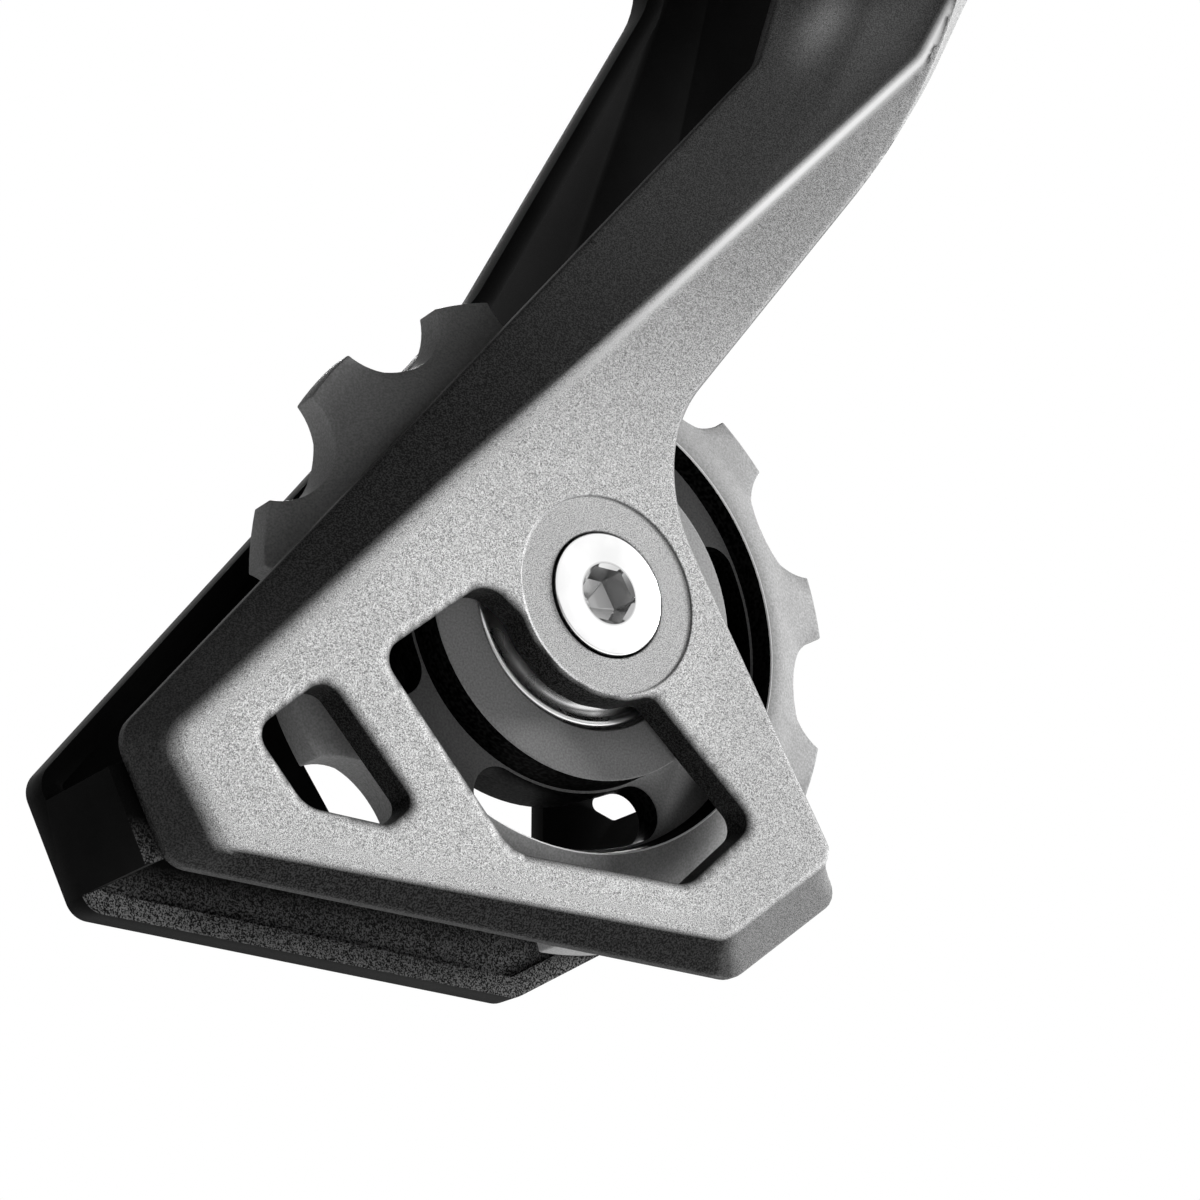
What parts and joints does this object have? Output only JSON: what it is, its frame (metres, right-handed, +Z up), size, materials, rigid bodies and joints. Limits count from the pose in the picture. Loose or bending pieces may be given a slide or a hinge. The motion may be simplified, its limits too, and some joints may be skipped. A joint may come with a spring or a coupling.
{
  "type": "rear derailleur",
  "caption": "Bicycle rear derailleur with a slanted linkage, a bevelled long cage and toothed guide and tension pulleys.",
  "frame": {"origin": "where the hanger bolt's axis meets the outboard face of the frame's hanger", "axes": "+X forward, +Y inboard along the hanger bolt, +Z up"},
  "size_m": [0.0868, 0.0614, 0.1787],
  "materials": {
    "cage_grey": "satin metallic paint with a fine grain",
    "cage_black": "satin black paint",
    "pulley_satin": "satin anodised",
    "bearing_steel": "turned",
    "bolt_chrome": "polished",
    "dark_steel": "black zinc",
    "spring_steel": "drawn wire",
    "knuckle_black": "satin black paint",
    "link_grey": "satin metallic paint",
    "cover_plastic": "fine moulded grain",
    "seal_rubber": "matt"
  },
  "bodies": {
    "hanger": {"hanger_bolt": "dark_steel", "stop_plate": "bearing_steel"},
    "upper_knuckle": {"upper_knuckle": "knuckle_black", "limit_screws": "dark_steel", "hanger_angle_screw": "dark_steel", "linkage_return_spring": "spring_steel"},
    "adjuster": {"barrel_adjuster": "cover_plastic"},
    "outer_link": {"outer_link": "link_grey", "outer_link_upper_pin": "bearing_steel", "outer_link_lower_pin": "bearing_steel", "cable_clamp_washer": "bearing_steel", "cable_anchor_bolt": "dark_steel"},
    "inner_link": {"inner_link": "knuckle_black", "inner_link_upper_pin": "bearing_steel", "inner_link_lower_pin": "bearing_steel"},
    "lower_knuckle": {"lower_knuckle": "knuckle_black", "knuckle_cover": "cover_plastic", "cage_seal": "seal_rubber"},
    "cage": {"outer_cage_plate": "cage_grey", "inner_cage_plate": "cage_black", "cage_axle": "dark_steel", "axle_clip": "dark_steel", "cage_stop_pin": "bearing_steel", "cage_spring": "spring_steel", "tension_sleeve": "bearing_steel", "tension_bearing_caps": "bearing_steel", "tension_bolt": "bolt_chrome", "guide_sleeve": "bearing_steel", "guide_bearing_caps": "bearing_steel", "guide_bolt": "bolt_chrome"},
    "tension_pulley": {"tension_pulley": "pulley_satin", "tension_bearing": "bearing_steel"},
    "guide_pulley": {"guide_pulley": "pulley_satin", "guide_bearing": "bearing_steel"}
  },
  "joints": [
    {"name": "hanger_swing", "type": "hinge", "parent": "hanger", "child": "upper_knuckle", "pos_m": [0, 0, 0], "axis": [0, 1, 0], "range_deg": [0, 30]},
    {"name": "linkage_shift", "type": "hinge", "parent": "upper_knuckle", "child": "outer_link", "pos_m": [0.0063, -0.01443, -0.01582], "axis": [0.9367, 0.0487, 0.3468], "range_deg": [0, 58], "stiffness_Nm_per_rad": 0.4, "springref_deg": -45.84, "deforming": ["linkage_return_spring"]},
    {"name": "inner_link_swing", "type": "hinge", "parent": "upper_knuckle", "child": "inner_link", "pos_m": [0.0063, 0.00043, -0.0179], "axis": [0.9367, 0.0487, 0.3468], "range_deg": [0, 58]},
    {"name": "lower_knuckle_swing", "type": "hinge", "parent": "outer_link", "child": "lower_knuckle", "pos_m": [0.01826, -0.03537, -0.04518], "axis": [0.9367, 0.0487, 0.3468], "range_deg": [-58, 0]},
    {"name": "cage_swing", "type": "hinge", "parent": "lower_knuckle", "child": "cage", "pos_m": [0.02492, -0.02795, -0.06402], "axis": [0, -1, 0], "range_deg": [0, 100], "stiffness_Nm_per_rad": 0.3, "springref_deg": -45.84},
    {"name": "tension_pulley_spin", "type": "hinge", "parent": "cage", "child": "tension_pulley", "pos_m": [-0.01108, 0.01225, -0.14102], "axis": [0, 1, 0], "continuous": true},
    {"name": "guide_pulley_spin", "type": "hinge", "parent": "cage", "child": "guide_pulley", "pos_m": [0.01142, 0.01225, -0.05102], "axis": [0, 1, 0], "continuous": true},
    {"name": "adjuster_turn", "type": "hinge", "parent": "upper_knuckle", "child": "adjuster", "pos_m": [-0.021, -0.0115, -0.01], "axis": [-1, 0, 0], "continuous": true}
  ],
  "couplings": [
    {"joint": "inner_link_swing", "follows": "linkage_shift", "ratio": 1},
    {"joint": "lower_knuckle_swing", "follows": "linkage_shift", "ratio": -1}
  ]
}
